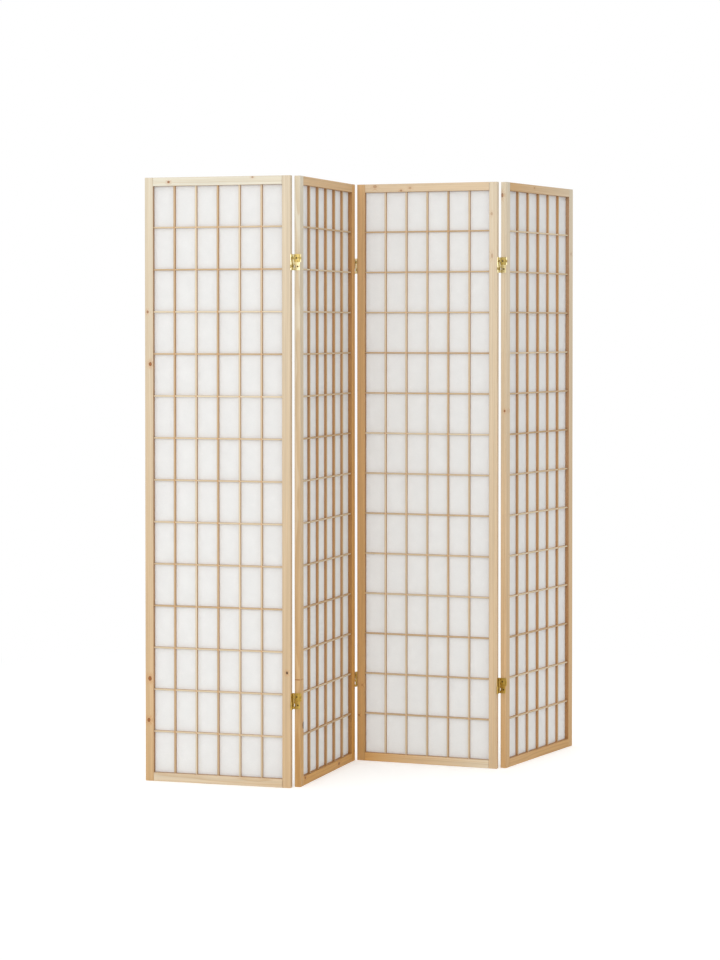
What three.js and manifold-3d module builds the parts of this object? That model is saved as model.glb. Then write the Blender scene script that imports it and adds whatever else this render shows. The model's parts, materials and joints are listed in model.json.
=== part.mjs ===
// Four-panel folding screen: softwood frames with a flush lattice, a paper sheet behind each
// lattice, and three pairs of brass hinges that each fold both ways.
// Millimetres, +Z up, front towards -Y, origin under the middle of the standing screen.
// Panels are numbered from the left. In a panel's own frame x runs along its width from the
// left stile, y runs from the front (-) to the back (+) with 0 in the middle of the frame.

import * as THREE from 'three';
import { mergeVertices } from 'three/addons/utils/BufferGeometryUtils.js';
import Module from 'manifold-3d';

const wasm = await Module();
wasm.setup();

// ---- Driving dimensions -------------------------------------------------------------------

const PANEL_WIDTH = 440;
const PANEL_HEIGHT = 1750;
const FRAME_THICKNESS = 18;
const MEMBER_WIDTH = 25;
const MEMBER_CHAMFER = 1;

const COLUMNS = 6;
const ROWS = 14;
const UPRIGHT_BAR_WIDTH = 5;
const CROSS_BAR_WIDTH = 4.5;
const LATTICE_DEPTH = 8;
const BAR_TENON = 5;

const PAPER_THICKNESS = 0.5;
const PAPER_EDGE = 3;

const RAIL_TENON = { length: 12, height: 15, thickness: 6 };

const FIT = 0.3;

const PANEL_GAP = 5;
const HINGE_FROM_END = 247;
const HINGE_LEVELS = { bottom: HINGE_FROM_END, top: PANEL_HEIGHT - HINGE_FROM_END };
const SHEET = 1;
const BARREL_RADIUS = 2.2;
const BORE_RADIUS = 1.15;
const PIN_RADIUS = 0.85;
const AXIS_OFFSET = FRAME_THICKNESS / 2 + BARREL_RADIUS + 0.2;
const KNUCKLE_HEIGHT = 7.4;
const KNUCKLES_PER_HALF = 3;
const HALF_START = 0.2;
const LEAF_HALF_WIDTH = 8.2;
const LINK_HALF_WIDTH = 8.7;
const BARREL_SIDES = 10;
const BORE_SIDES = 8;

const SCREW = { shank: 1.2, point: 0.4, length: 14, taper: 4, head: 2.6, crown: 0.3 };
// The upper and the lower screw of a leaf stand this far above, below and beside its middle.
const SCREW_LEVEL = 12;
const SCREW_STAGGER = 1.6;
const SCREW_SIDES = 6;

// Direction of each panel seen from above, in degrees from +X, as the screen stands.
const PANEL_DIRECTIONS = [-15, 69.3, -18.8, 58];

// Side of the hinge that turns at each junction: the back axis (+1) or the front axis (-1).
const TURNING_SIDES = [1, -1, 1];

// ---- Worked-out sizes ---------------------------------------------------------------------

const FRONT = -FRAME_THICKNESS / 2;
const OPENING_WIDTH = PANEL_WIDTH - 2 * MEMBER_WIDTH;
const OPENING_HEIGHT = PANEL_HEIGHT - 2 * MEMBER_WIDTH;
const COLUMN_PITCH = (OPENING_WIDTH + UPRIGHT_BAR_WIDTH) / COLUMNS;
const ROW_PITCH = (OPENING_HEIGHT + CROSS_BAR_WIDTH) / ROWS;
const PAPER_FRONT = LATTICE_DEPTH / 2 + FIT;
const HALF_HEIGHT = HALF_START + KNUCKLES_PER_HALF * KNUCKLE_HEIGHT + (KNUCKLES_PER_HALF - 1) * FIT;
const LEAF_FACE = -PANEL_GAP / 2 + FIT;

// ---- Materials ----------------------------------------------------------------------------

const MATERIALS = {
  frame: { color: 0xe2c9a4, roughness: 0.55, metalness: 0 },
  lattice: { color: 0xc08d5e, roughness: 0.6, metalness: 0 },
  paper: { color: 0xebe9e4, roughness: 0.9, metalness: 0 },
  brass: { color: 0xd9b45a, roughness: 0.3, metalness: 1 },
};

// ---- Solids -------------------------------------------------------------------------------

function toSolid(geometry) {
  const bare = geometry.index ? geometry.toNonIndexed() : geometry.clone();
  bare.deleteAttribute('normal');
  bare.deleteAttribute('uv');
  const merged = mergeVertices(bare, 1e-5);
  const mesh = new wasm.Mesh({
    numProp: 3,
    vertProperties: new Float32Array(merged.attributes.position.array),
    triVerts: new Uint32Array(merged.index.array),
  });
  return new wasm.Manifold(mesh);
}

function toGeometry(solid) {
  const mesh = solid.getMesh();
  const geometry = new THREE.BufferGeometry();
  geometry.setAttribute('position', new THREE.BufferAttribute(mesh.vertProperties, 3));
  geometry.setIndex(new THREE.BufferAttribute(mesh.triVerts, 1));
  geometry.computeVertexNormals();
  return geometry;
}

function box(from, to) {
  const size = [0, 1, 2].map((axis) => to[axis] - from[axis]);
  const middle = [0, 1, 2].map((axis) => (to[axis] + from[axis]) / 2);
  return toSolid(new THREE.BoxGeometry(...size).translate(...middle));
}

// A rod along z, with a flat side or a corner turned by the given angle.
function rod(x, y, from, to, radius, sides, turn = 0) {
  const geometry = new THREE.CylinderGeometry(radius, radius, to - from, sides);
  geometry.rotateX(Math.PI / 2).rotateZ(turn).translate(x, y, (from + to) / 2);
  return toSolid(geometry);
}

function join(solids) {
  return solids.reduce((whole, solid) => whole.add(solid));
}

function cut(solid, tools) {
  return tools.length ? solid.subtract(join(tools)) : solid;
}

// A straight bar along z with its four long edges chamfered.
function chamferedBar(width, thickness, length, chamfer) {
  const halfWidth = width / 2;
  const halfThickness = thickness / 2;
  const outline = new THREE.Shape([
    new THREE.Vector2(-halfWidth + chamfer, -halfThickness),
    new THREE.Vector2(halfWidth - chamfer, -halfThickness),
    new THREE.Vector2(halfWidth, -halfThickness + chamfer),
    new THREE.Vector2(halfWidth, halfThickness - chamfer),
    new THREE.Vector2(halfWidth - chamfer, halfThickness),
    new THREE.Vector2(-halfWidth + chamfer, halfThickness),
    new THREE.Vector2(-halfWidth, halfThickness - chamfer),
    new THREE.Vector2(-halfWidth, -halfThickness + chamfer),
  ]);
  return new THREE.ExtrudeGeometry(outline, { depth: length, bevelEnabled: false });
}

// ---- Frame --------------------------------------------------------------------------------

function barCentres(count, pitch, barWidth) {
  const centres = [];
  for (let index = 1; index < count; index += 1) {
    centres.push(MEMBER_WIDTH + index * pitch - barWidth / 2);
  }
  return centres;
}

const UPRIGHT_CENTRES = barCentres(COLUMNS, COLUMN_PITCH, UPRIGHT_BAR_WIDTH);
const CROSS_CENTRES = barCentres(ROWS, ROW_PITCH, CROSS_BAR_WIDTH);

// Stile seen as the left one: x from 0 to MEMBER_WIDTH, inner side towards +x.
function stile(hinged) {
  const bar = chamferedBar(MEMBER_WIDTH, FRAME_THICKNESS, PANEL_HEIGHT, MEMBER_CHAMFER);
  bar.translate(MEMBER_WIDTH / 2, 0, 0);
  const halfSlot = CROSS_BAR_WIDTH / 2 + FIT;
  const halfDepth = LATTICE_DEPTH / 2 + FIT;
  const slotEnd = MEMBER_WIDTH - BAR_TENON - FIT;
  const tools = CROSS_CENTRES.map((level) =>
    box([slotEnd, -halfDepth, level - halfSlot], [MEMBER_WIDTH + 1, halfDepth, level + halfSlot]));
  tools.push(box(
    [MEMBER_WIDTH - PAPER_EDGE - FIT, PAPER_FRONT - FIT, MEMBER_WIDTH - PAPER_EDGE - FIT],
    [MEMBER_WIDTH + 1, PAPER_FRONT + PAPER_THICKNESS + FIT,
      PANEL_HEIGHT - MEMBER_WIDTH + PAPER_EDGE + FIT],
  ));
  for (const level of [MEMBER_WIDTH / 2, PANEL_HEIGHT - MEMBER_WIDTH / 2]) {
    tools.push(box(
      [MEMBER_WIDTH - RAIL_TENON.length - FIT, -RAIL_TENON.thickness / 2 - FIT,
        level - RAIL_TENON.height / 2 - FIT],
      [MEMBER_WIDTH + 1, RAIL_TENON.thickness / 2 + FIT, level + RAIL_TENON.height / 2 + FIT],
    ));
  }
  if (hinged) {
    for (const level of Object.values(HINGE_LEVELS)) {
      for (const side of [-1, 1]) {
        tools.push(pilotHole(side * SCREW_STAGGER, level + side * SCREW_LEVEL));
      }
    }
  }
  return cut(toSolid(bar), tools);
}

function pilotHole(across, level) {
  const radius = SCREW.shank + FIT;
  const depth = SCREW.length + 1;
  const geometry = new THREE.CylinderGeometry(radius, radius, depth + 1, SCREW_SIDES);
  geometry.rotateZ(Math.PI / 2).translate((depth - 1) / 2, across, level);
  return toSolid(geometry);
}

// Rail seen as the bottom one: z from 0 to MEMBER_WIDTH, inner side upwards.
function rail() {
  const length = OPENING_WIDTH - 2 * FIT;
  const bar = chamferedBar(MEMBER_WIDTH, FRAME_THICKNESS, length, MEMBER_CHAMFER);
  bar.translate(0, 0, -length / 2).rotateY(Math.PI / 2);
  bar.translate(PANEL_WIDTH / 2, 0, MEMBER_WIDTH / 2);
  const tenons = box(
    [MEMBER_WIDTH - RAIL_TENON.length, -RAIL_TENON.thickness / 2,
      (MEMBER_WIDTH - RAIL_TENON.height) / 2],
    [PANEL_WIDTH - MEMBER_WIDTH + RAIL_TENON.length, RAIL_TENON.thickness / 2,
      (MEMBER_WIDTH + RAIL_TENON.height) / 2],
  );
  const halfSlot = UPRIGHT_BAR_WIDTH / 2 + FIT;
  const halfDepth = LATTICE_DEPTH / 2 + FIT;
  const slotEnd = MEMBER_WIDTH - BAR_TENON - FIT;
  const tools = UPRIGHT_CENTRES.map((place) =>
    box([place - halfSlot, -halfDepth, slotEnd], [place + halfSlot, halfDepth, MEMBER_WIDTH + 1]));
  tools.push(box(
    [0, PAPER_FRONT - FIT, MEMBER_WIDTH - PAPER_EDGE - FIT],
    [PANEL_WIDTH, PAPER_FRONT + PAPER_THICKNESS + FIT, MEMBER_WIDTH + 1],
  ));
  return cut(join([toSolid(bar), tenons]), tools);
}

function lattice() {
  const reach = MEMBER_WIDTH - BAR_TENON;
  const halfDepth = LATTICE_DEPTH / 2;
  const uprights = UPRIGHT_CENTRES.map((place) => box(
    [place - UPRIGHT_BAR_WIDTH / 2, -halfDepth, reach],
    [place + UPRIGHT_BAR_WIDTH / 2, halfDepth, PANEL_HEIGHT - reach],
  ));
  const crossBars = CROSS_CENTRES.map((level) => box(
    [reach, -halfDepth, level - CROSS_BAR_WIDTH / 2],
    [PANEL_WIDTH - reach, halfDepth, level + CROSS_BAR_WIDTH / 2],
  ));
  return join([...uprights, ...crossBars]);
}

function paper() {
  const edge = MEMBER_WIDTH - PAPER_EDGE;
  return box(
    [edge, PAPER_FRONT, edge],
    [PANEL_WIDTH - edge, PAPER_FRONT + PAPER_THICKNESS, PANEL_HEIGHT - edge],
  );
}

// ---- Hinges -------------------------------------------------------------------------------
// In a hinge's own frame the origin is the middle of the gap between two panels in line, with
// the front axis at y = -AXIS_OFFSET and the back axis at y = +AXIS_OFFSET. In the upper half
// (+1) the left leaf holds the back axis and the right leaf the front one, and in the lower
// half (-1) they change over. A link crosses the gap in each half and joins the two axes.

function halfSpan(half, from, to) {
  return half > 0 ? [from, to] : [-to, -from];
}

function knuckleSpan(half, index) {
  const start = HALF_START + index * (KNUCKLE_HEIGHT + FIT);
  return halfSpan(half, start, start + KNUCKLE_HEIGHT);
}

function barrel(side, from, to) {
  return rod(0, side * AXIS_OFFSET, from, to, BARREL_RADIUS, BARREL_SIDES, Math.PI / BARREL_SIDES);
}

function bore(side, half) {
  const [from, to] = halfSpan(half, 0, HALF_HEIGHT + 1);
  return rod(0, side * AXIS_OFFSET, from, to, BORE_RADIUS, BORE_SIDES, Math.PI / BORE_SIDES);
}

function pin(side, half) {
  const [from, to] = halfSpan(half, HALF_START, HALF_HEIGHT);
  return rod(0, side * AXIS_OFFSET, from, to, PIN_RADIUS, BORE_SIDES, Math.PI / BORE_SIDES);
}

// A countersunk wood screw through the left leaf, on the side away from that half's knuckles.
function screw(half) {
  const face = LEAF_FACE + SHEET;
  const outline = new THREE.Shape([
    new THREE.Vector2(0, SCREW.crown),
    new THREE.Vector2(0, -SCREW.length),
    new THREE.Vector2(SCREW.point, -SCREW.length),
    new THREE.Vector2(SCREW.shank, -SCREW.length + SCREW.taper),
    new THREE.Vector2(SCREW.shank, -SHEET),
    new THREE.Vector2(SCREW.head, 0),
    new THREE.Vector2(SCREW.head - SCREW.crown, SCREW.crown),
  ]);
  const profile = [...outline.getPoints().slice(1), new THREE.Vector2(0, SCREW.crown)];
  const geometry = new THREE.LatheGeometry(profile, SCREW_SIDES);
  geometry.rotateZ(-Math.PI / 2).translate(face, -half * SCREW_STAGGER, half * SCREW_LEVEL);
  return toSolid(geometry);
}

// The left leaf: a plate on the stile's edge, its knuckles and its two screws.
function leaf() {
  const outer = LEAF_FACE + SHEET;
  const plate = box([LEAF_FACE, -LEAF_HALF_WIDTH, -HALF_HEIGHT], [outer, LEAF_HALF_WIDTH, HALF_HEIGHT]);
  const solids = [plate];
  for (const half of [1, -1]) {
    const side = half;
    for (const index of [0, KNUCKLES_PER_HALF - 1]) {
      const [from, to] = knuckleSpan(half, index);
      const [near, far] = side > 0 ? [0, AXIS_OFFSET] : [-AXIS_OFFSET, 0];
      solids.push(box([LEAF_FACE, near, from], [outer, far, to]));
      solids.push(barrel(side, from, to));
    }
  }
  const bored = cut(join(solids), [bore(1, 1), bore(-1, -1)]);
  return join([bored, screw(1), screw(-1)]);
}

// A link in one half of the hinge: free on its turning axis, with its own pin on the other.
function link(half, turningSide) {
  const [bottom, top] = halfSpan(half, HALF_START, HALF_HEIGHT);
  const [from, to] = knuckleSpan(half, 1);
  const web = box([-SHEET / 2, -LINK_HALF_WIDTH, bottom], [SHEET / 2, LINK_HALF_WIDTH, top]);
  const arm = box([-SHEET / 2, -AXIS_OFFSET, from], [SHEET / 2, AXIS_OFFSET, to]);
  const body = join([web, arm, barrel(1, from, to), barrel(-1, from, to)]);
  return join([cut(body, [bore(turningSide, half)]), pin(-turningSide, half)]);
}

// ---- Assembly -----------------------------------------------------------------------------

function addMesh(group, name, solid, finish, place = {}) {
  const mesh = new THREE.Mesh(toGeometry(solid), new THREE.MeshStandardMaterial(MATERIALS[finish]));
  mesh.name = name;
  mesh.position.set(place.x ?? 0, place.y ?? 0, place.z ?? 0);
  mesh.rotation.set(place.turnX ?? 0, 0, place.turnZ ?? 0);
  group.add(mesh);
}

function panel(number) {
  const group = new THREE.Group();
  const name = `panel_${number}`;
  const last = PANEL_DIRECTIONS.length;
  addMesh(group, `${name}_left_stile`, stile(number > 1), 'frame');
  // The right stile is the left one turned end for end about the y axis through its middle.
  const right = stile(number < last).rotate([0, 180, 0]).translate([PANEL_WIDTH, 0, PANEL_HEIGHT]);
  addMesh(group, `${name}_right_stile`, right, 'frame');
  addMesh(group, `${name}_bottom_rail`, rail(), 'frame');
  const top = rail().rotate([0, 180, 0]).translate([PANEL_WIDTH, 0, PANEL_HEIGHT]);
  addMesh(group, `${name}_top_rail`, top, 'frame');
  addMesh(group, `${name}_lattice`, lattice(), 'lattice');
  addMesh(group, `${name}_paper`, paper(), 'paper');
  return group;
}

// Adds both hinges of a junction. Each link rides on the panel whose leaf shares its idle axis.
function addHinges(left, right, number, turningSide) {
  for (const [level, z] of Object.entries(HINGE_LEVELS)) {
    const name = `hinge_${number}${number + 1}_${level}`;
    const onLeft = { x: PANEL_WIDTH + PANEL_GAP / 2, z };
    const onRight = { x: -PANEL_GAP / 2, z };
    addMesh(left, `${name}_leaf_left`, leaf(), 'brass', onLeft);
    addMesh(right, `${name}_leaf_right`, leaf(), 'brass', { ...onRight, turnZ: Math.PI });
    for (const [half, word] of [[1, 'upper'], [-1, 'lower']]) {
      const leafSide = half;
      const [rider, place] = leafSide === turningSide ? [right, onRight] : [left, onLeft];
      addMesh(rider, `${name}_link_${word}`, link(half, turningSide), 'brass', place);
      const [holder, spot] = leafSide === turningSide ? [left, onLeft] : [right, onRight];
      addMesh(holder, `${name}_pin_${word}`, pin(turningSide, half), 'brass', spot);
    }
  }
}

function screen() {
  const root = new THREE.Group();
  let frame = root;
  let direction = 0;
  let previous = null;
  PANEL_DIRECTIONS.forEach((heading, index) => {
    const group = panel(index + 1);
    const pivot = new THREE.Group();
    pivot.rotation.z = THREE.MathUtils.degToRad(heading - direction);
    if (previous) {
      const side = TURNING_SIDES[index - 1];
      pivot.position.set(PANEL_WIDTH + PANEL_GAP / 2, side * AXIS_OFFSET, 0);
      group.position.set(PANEL_GAP / 2, -side * AXIS_OFFSET, 0);
      addHinges(previous, group, index, side);
    }
    frame.add(pivot);
    pivot.add(group);
    frame = group;
    previous = group;
    direction = heading;
  });
  return root;
}

const foldingScreen = screen();
foldingScreen.updateMatrixWorld(true);
const footprint = new THREE.Box3().setFromObject(foldingScreen, true).getCenter(new THREE.Vector3());
foldingScreen.position.set(-footprint.x, -footprint.y, 0);
foldingScreen.updateMatrixWorld(true);

export default foldingScreen;
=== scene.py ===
"""Looks of a four-panel folding screen: spruce frames, a lattice over paper, brass hinges."""

import json
import logging
import math
from collections.abc import Callable
from dataclasses import dataclass, field
from enum import Enum

import bmesh
import bpy
from bmesh.types import BMEdge, BMesh
from bpy.types import Material, Mesh, Node, NodeOutputs, NodeSocket, NodeTree, Object
from mathutils import Euler, Matrix, Vector

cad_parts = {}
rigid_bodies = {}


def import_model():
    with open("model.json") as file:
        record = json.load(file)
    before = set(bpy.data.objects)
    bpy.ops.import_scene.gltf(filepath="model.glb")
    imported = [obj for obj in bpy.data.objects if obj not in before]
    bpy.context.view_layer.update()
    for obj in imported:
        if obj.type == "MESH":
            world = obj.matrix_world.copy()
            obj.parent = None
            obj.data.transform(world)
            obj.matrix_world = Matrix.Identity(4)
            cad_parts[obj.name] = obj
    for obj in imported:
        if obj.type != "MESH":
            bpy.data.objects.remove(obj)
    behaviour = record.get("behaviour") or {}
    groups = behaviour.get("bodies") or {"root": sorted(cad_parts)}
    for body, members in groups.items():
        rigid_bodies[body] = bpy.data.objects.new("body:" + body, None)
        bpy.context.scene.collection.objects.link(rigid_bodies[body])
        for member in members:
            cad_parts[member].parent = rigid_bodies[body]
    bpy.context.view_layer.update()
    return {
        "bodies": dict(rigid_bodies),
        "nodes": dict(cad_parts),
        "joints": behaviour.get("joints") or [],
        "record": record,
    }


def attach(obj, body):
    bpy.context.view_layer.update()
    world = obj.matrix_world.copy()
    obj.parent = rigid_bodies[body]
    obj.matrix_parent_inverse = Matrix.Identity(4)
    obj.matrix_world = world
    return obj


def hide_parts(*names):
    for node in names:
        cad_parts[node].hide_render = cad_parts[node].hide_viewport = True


# What an input takes: the socket that feeds it, or a fixed number, place or colour.
Feed = NodeSocket | float | tuple[float, ...]

LOG = logging.getLogger("folding_screen")
MM = 0.001
MM_TO_METRES = Matrix.Scale(MM, 4)
WHITE = (1.0, 1.0, 1.0, 1.0)
# Edges that turn more than this stay sharp.
SHARP_ANGLE = math.radians(35.0)

# The screen's sizes in millimetres and degrees, as the CAD has them.
PANEL_WIDTH = 440.0
PANEL_HEIGHT = 1750.0
MEMBER_WIDTH = 25.0
LATTICE_DEPTH = 8.0
PANEL_GAP = 5.0
PANEL_HEADINGS = (-15.0, 69.3, -18.8, 58.0)
TURNING_SIDES = (1, -1, 1)
HINGE_LEVELS = {"bottom": 247.0, "top": PANEL_HEIGHT - 247.0}
AXIS_OFFSET = 11.4
PAPER_FRONT = LATTICE_DEPTH / 2 + 0.3


# ---- Small helpers --------------------------------------------------------------------------


def linear(hex_colour: str) -> tuple[float, float, float, float]:
    """Turns an sRGB hex colour into linear red, green, blue and full alpha.

    Args:
        hex_colour: Six hex digits, such as "E6D2AF".

    Returns:
        The four channels that a colour socket takes.
    """
    channels = [int(hex_colour[i : i + 2], 16) / 255 for i in (0, 2, 4)]
    curve = [c / 12.92 if c <= 0.04045 else ((c + 0.055) / 1.055) ** 2.4 for c in channels]
    return (*curve, 1.0)


def between(low: str, high: str, share: float) -> tuple[float, ...]:
    """Gives the linear colour that lies the given share of the way from one hex colour to another."""
    return tuple(a + (b - a) * share for a, b in zip(linear(low), linear(high)))


def add_node(
    tree: NodeTree, kind: str, inputs: dict | None = None, **settings: object
) -> Node:
    """Adds a node, sets it up and links it.

    Args:
        tree: The node tree that takes the node.
        kind: The node's type name.
        inputs: Socket name or number to a value, or to the output socket that feeds it.
        **settings: The node's own settings.

    Returns:
        The new node.
    """
    node = tree.nodes.new(kind)
    for name, value in settings.items():
        setattr(node, name, value)
    for key, value in (inputs or {}).items():
        if isinstance(value, NodeSocket):
            tree.links.new(value, node.inputs[key])
        else:
            node.inputs[key].default_value = value
    return node

def maths(tree: NodeTree, operation: str, *values: Feed) -> NodeSocket:
    """Adds a Math node.

    Args:
        tree: The node tree that takes the node.
        operation: What it works out.
        *values: What it works on.

    Returns:
        Its result.
    """
    return add_node(tree, "ShaderNodeMath", dict(enumerate(values)), operation=operation).outputs[0]


def vector_maths(tree: NodeTree, operation: str, *values: Feed) -> NodeSocket:
    """Adds a Vector Math node.

    Args:
        tree: The node tree that takes the node.
        operation: What it works out.
        *values: What it works on; for SCALE the second one is the scale.

    Returns:
        Its result, which for LENGTH is a number.
    """
    inputs = (0, "Scale") if operation == "SCALE" else range(len(values))
    node = add_node(tree, "ShaderNodeVectorMath", dict(zip(inputs, values)), operation=operation)
    return node.outputs["Value" if operation == "LENGTH" else "Vector"]


def remap(
    tree: NodeTree, value: NodeSocket, given: tuple[float, float],
    wanted: tuple[float, float] = (0.0, 1.0), smooth: bool = False,
) -> NodeSocket:
    """Adds a Map Range node, which stays between the wanted ends.

    Args:
        tree: The node tree that takes the node.
        value: The value to map.
        given: Two of its values.
        wanted: What they become.
        smooth: True for a soft start and end.

    Returns:
        The mapped value.
    """
    inputs = {"Value": value, "From Min": given[0], "From Max": given[1],
              "To Min": wanted[0], "To Max": wanted[1]}
    way = "SMOOTHSTEP" if smooth else "LINEAR"
    return add_node(tree, "ShaderNodeMapRange", inputs, interpolation_type=way).outputs[0]


def mix_colours(tree: NodeTree, share: NodeSocket, first: Feed, second: Feed) -> NodeSocket:
    """Adds a Mix node for colours.

    Args:
        tree: The node tree that takes the node.
        share: How much of the second colour there is.
        first: The first colour.
        second: The second colour.

    Returns:
        The mixed colour.
    """
    inputs = {"Factor": share, 6: first, 7: second}
    return add_node(tree, "ShaderNodeMix", inputs, data_type="RGBA").outputs[2]


def noise(
    tree: NodeTree, place: NodeSocket, scale: float = 1.0, detail: float = 2.0
) -> NodeOutputs:
    """Adds a Noise Texture node.

    Args:
        tree: The node tree that takes the node.
        place: Where it is looked up.
        scale: How many lumps there are in one unit of the place.
        detail: How many finer layers there are.

    Returns:
        Its outputs, "Fac" and "Color".
    """
    return add_node(tree, "ShaderNodeTexNoise",
                    {"Vector": place, "Scale": scale, "Detail": detail}).outputs


def bumps(tree: NodeTree, height: NodeSocket, strength: float, depth_mm: float) -> NodeSocket:
    """Adds a Bump node.

    Args:
        tree: The node tree that takes the node.
        height: The relief.
        strength: How much of it shows.
        depth_mm: How deep the relief is.

    Returns:
        The bumpy surface's normal.
    """
    return add_node(tree, "ShaderNodeBump",
                    {"Height": height, "Strength": strength, "Distance": depth_mm * MM}).outputs[0]


def object_place(tree: NodeTree) -> NodeSocket:
    """Gives the place in the object, in metres."""
    return add_node(tree, "ShaderNodeTexCoord").outputs["Object"]


def new_group(
    name: str, kind: str, inputs: dict[str, str], outputs: dict[str, str]
) -> tuple[NodeTree, NodeOutputs]:
    """Makes a node group with named sockets.

    Args:
        name: The group's name.
        kind: The tree's type name.
        inputs: Input name to the last part of its socket's type name.
        outputs: Output name to the same.

    Returns:
        The group, and the sockets that bring its inputs in.
    """
    group = bpy.data.node_groups.new(name, kind)
    for way, sockets in (("INPUT", inputs), ("OUTPUT", outputs)):
        for socket, sort in sockets.items():
            group.interface.new_socket(socket, in_out=way, socket_type=f"NodeSocket{sort}")
    return group, add_node(group, "NodeGroupInput").outputs


def new_material(name: str) -> tuple[Material, NodeTree]:
    """Makes a material with an empty node tree.

    Args:
        name: The material's name.

    Returns:
        The material and its tree.
    """
    made = bpy.data.materials.new(name)
    made.use_nodes = True
    made.node_tree.nodes.clear()
    return made, made.node_tree


def new_object(name: str, mesh: Mesh) -> Object:
    """Links a new object at the world's origin to the scene.

    Args:
        name: The object's name.
        mesh: Its mesh.

    Returns:
        The object.
    """
    made = bpy.data.objects.new(name, mesh)
    bpy.context.scene.collection.objects.link(made)
    return made


def mesh_of(name: str, shape: BMesh) -> Mesh:
    """Turns a shape into a mesh whose faces point outwards.

    Args:
        name: The mesh's name.
        shape: The shape; it is used up.

    Returns:
        The mesh.
    """
    bmesh.ops.recalc_face_normals(shape, faces=shape.faces)
    mesh = bpy.data.meshes.new(name)
    shape.to_mesh(mesh)
    shape.free()
    return mesh


def set_in_place(mesh: Mesh, place: Matrix) -> None:
    """Moves a mesh made in millimetres to its place in metres, and smooths its shading.

    Args:
        mesh: The mesh.
        place: Its own frame to the row's, in metres.
    """
    mesh.transform(place @ MM_TO_METRES)
    mesh.shade_smooth()
    mesh.set_sharp_from_angle(angle=SHARP_ANGLE)


def arc(centre: tuple[float, float], radius: float, start: float, end: float, steps: int) -> list:
    """Gives points along an arc.

    Args:
        centre: The arc's middle.
        radius: Its radius.
        start: Where it starts, in degrees.
        end: Where it ends.
        steps: How many straight pieces it has.

    Returns:
        The points, both ends among them.
    """
    angles = [math.radians(start + (end - start) * i / steps) for i in range(steps + 1)]
    return [(centre[0] + radius * math.cos(a), centre[1] + radius * math.sin(a)) for a in angles]


def circle(centre: tuple[float, float], radius: float, count: int) -> list:
    """Gives the given number of points, evenly spaced round a circle."""
    return arc(centre, radius, 0, 360 - 360 / count, count - 1)


def extrude(shape: BMesh, outline: list[tuple[float, ...]], path: tuple[float, ...]) -> None:
    """Adds a closed prism to a shape.

    Args:
        shape: The shape that takes it.
        outline: The corners of the prism's foot, in order.
        path: How far and which way the foot is drawn out.
    """
    foot = [shape.verts.new(corner) for corner in outline]
    head = [shape.verts.new(Vector(corner) + Vector(path)) for corner in outline]
    shape.faces.new(foot)
    shape.faces.new(head)
    join_rings(shape, foot, head)


def ease_edges(shape: BMesh, amount: float, chosen: Callable[[BMEdge], bool]) -> None:
    """Takes the chosen edges of a shape off with a narrow face each.

    Args:
        shape: The shape.
        amount: How far back from each edge its face starts, in millimetres.
        chosen: Tells whether an edge is taken off.
    """
    edges = [edge for edge in shape.edges if chosen(edge)]
    bmesh.ops.bevel(
        shape, geom=edges, offset=amount, offset_type="OFFSET", segments=1, profile=0.5,
        affect="EDGES", clamp_overlap=True)


def join_rings(shape: BMesh, lower: list, upper: list) -> None:
    """Adds the faces between two rings.

    Args:
        shape: The shape that takes them.
        lower: The first ring's vertices, in order.
        upper: As many vertices of the second ring.
    """
    for i in range(len(lower)):
        j = (i + 1) % len(lower)
        shape.faces.new((lower[i], lower[j], upper[j], upper[i]))


def stack_rings(shape: BMesh, rings: list[list[tuple[float, float, float]]]) -> list:
    """Adds the surface of a turned body, closed at its first ring.

    Args:
        shape: The shape that takes it.
        rings: Its rings of points, from one end to the other.

    Returns:
        The vertices of its last ring, which is left open.
    """
    made = [[shape.verts.new(point) for point in ring] for ring in rings]
    shape.faces.new(made[0])
    for lower, upper in zip(made, made[1:]):
        join_rings(shape, lower, upper)
    return made[-1]


def fill_between(shape: BMesh, *rings: list) -> None:
    """Fills a flat face that has an outer ring of vertices and rings round its holes.

    Args:
        shape: The shape that takes the faces.
        *rings: The rings, each a list of vertices in order.
    """
    edges = []
    for ring in rings:
        for i, corner in enumerate(ring):
            pair = (corner, ring[(i + 1) % len(ring)])
            edges.append(shape.edges.get(pair) or shape.edges.new(pair))
    bmesh.ops.triangle_fill(shape, use_beauty=True, use_dissolve=False, edges=edges)


# ---- Places ---------------------------------------------------------------------------------


@dataclass(frozen=True)
class PanelPlace:
    """Where a panel stands: its lower left corner, halfway through its frame, and its heading."""

    number: int
    origin: Vector
    heading_deg: float

    @property
    def body(self) -> str:
        """The CAD body that the panel's pieces ride on."""
        return f"panel_{self.number}"

    @property
    def matrix(self) -> Matrix:
        """The panel's frame to the row's, both in metres."""
        return Matrix.Translation(self.origin) @ Matrix.Rotation(math.radians(self.heading_deg), 4, "Z")

    def board(self, x: float, z: float, lying: bool = False) -> Matrix:
        """Gives a board's own frame, with x across it, y through it and z along its grain.

        Args:
            x: Where the frame's origin is along the panel, in millimetres.
            z: How high it is, in millimetres.
            lying: True if the grain runs along the panel, False if it runs upwards.

        Returns:
            The board's frame to the row's, in metres.
        """
        turn = Matrix.Rotation(math.pi / 2, 4, "Y") if lying else Matrix.Identity(4)
        return self.matrix @ Matrix.Translation((x * MM, 0, z * MM)) @ turn


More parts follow.
